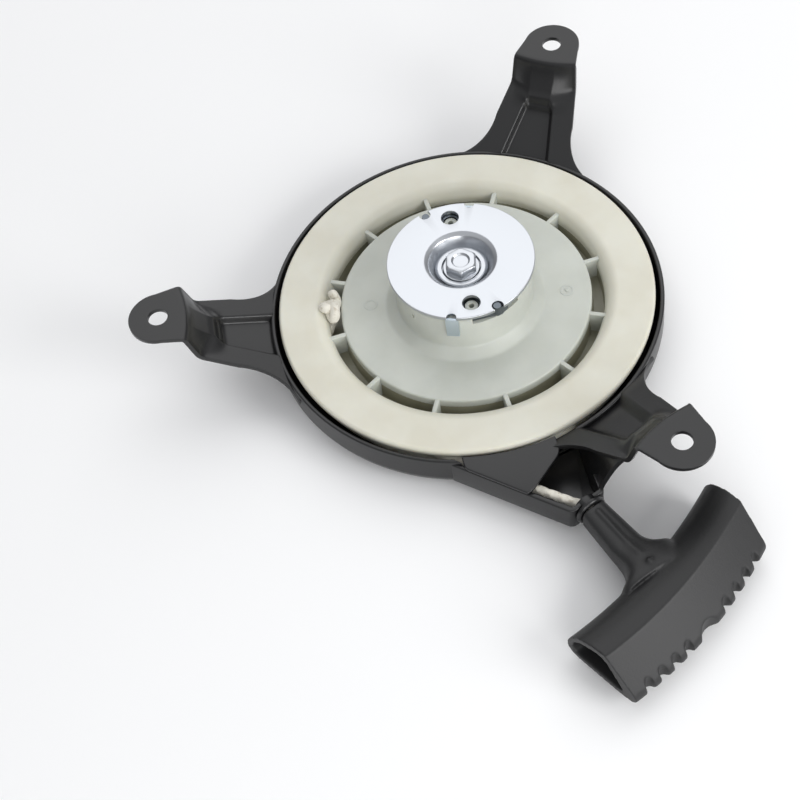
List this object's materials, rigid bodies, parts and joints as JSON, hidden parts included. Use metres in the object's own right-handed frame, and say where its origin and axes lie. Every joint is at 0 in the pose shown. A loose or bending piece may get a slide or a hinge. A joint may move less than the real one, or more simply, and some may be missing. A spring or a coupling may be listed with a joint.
{
  "type": "recoil starter",
  "caption": "Rope-pull recoil starter: pressed steel housing with mounting arms, sprung rope reel, ratchet plate with swing-out pawls, and a T-grip.",
  "frame": {"origin": "centre of the housing's closed face, on the crank axis", "axes": "+Z along the crank axis towards the engine; one mounting arm points along -X; the rope leaves towards -Y"},
  "size_m": [0.1852, 0.2545, 0.038],
  "materials": {
    "black_paint": "satin black stoving enamel",
    "nylon": "natural moulded nylon",
    "zinc": "bright zinc plate",
    "steel": "plain steel",
    "spring_steel": "oiled spring steel",
    "grip_plastic": "fine matt moulded plastic",
    "rope_fibre": "braided nylon cord"
  },
  "bodies": {
    "housing_body": {"housing": "black_paint", "rope_guard_plate": "black_paint", "exit_eyelet": "steel", "centre_post": "steel", "recoil_spring": "spring_steel", "rope_run": "rope_fibre", "centre_bolt": "zinc", "friction_washer": "zinc", "friction_spring": "spring_steel"},
    "reel_body": {"reel": "nylon", "reel_bush": "steel", "rope_wound": "rope_fibre", "reel_knot": "rope_fibre", "pawl_spring_1": "spring_steel", "pawl_spring_2": "spring_steel"},
    "guide_body": {"ratchet_plate": "zinc"},
    "pawl_1_body": {"pawl_1": "steel"},
    "pawl_2_body": {"pawl_2": "steel"},
    "handle_body": {"handle": "grip_plastic", "handle_knot_washer": "zinc", "handle_knot": "rope_fibre"}
  },
  "joints": [
    {"name": "reel_spin", "type": "hinge", "parent": "housing_body", "child": "reel_body", "pos_m": [0, 0, 0.0105], "axis": [0, 0, 1], "range_deg": [0, 747], "stiffness_Nm_per_rad": 0.05, "springref_deg": -343.77, "deforming": ["rope_wound", "recoil_spring"]},
    {"name": "handle_pull", "type": "slide", "parent": "housing_body", "child": "handle_body", "axis": [0.4226, -0.9063, 0], "range_m": [0, 0.72], "deforming": ["rope_run"]},
    {"name": "plate_drag", "type": "hinge", "parent": "reel_body", "child": "guide_body", "pos_m": [0, 0, 0.035], "axis": [0, 0, 1], "range_deg": [-7.5, 0], "stiffness_Nm_per_rad": 0.02, "springref_deg": 8.59},
    {"name": "pawl_1_swing", "type": "hinge", "parent": "reel_body", "child": "pawl_1_body", "pos_m": [0, -0.0185, 0.027], "axis": [0, 0, 1], "range_deg": [-32, 0]},
    {"name": "pawl_2_swing", "type": "hinge", "parent": "reel_body", "child": "pawl_2_body", "pos_m": [0, 0.0185, 0.027], "axis": [0, 0, 1], "range_deg": [-32, 0]}
  ],
  "couplings": [
    {"joint": "handle_pull", "follows": "reel_spin", "m_per_rad": 0.0552},
    {"joint": "pawl_1_swing", "follows": "plate_drag", "ratio": 3.4},
    {"joint": "pawl_2_swing", "follows": "plate_drag", "ratio": 3.4}
  ]
}
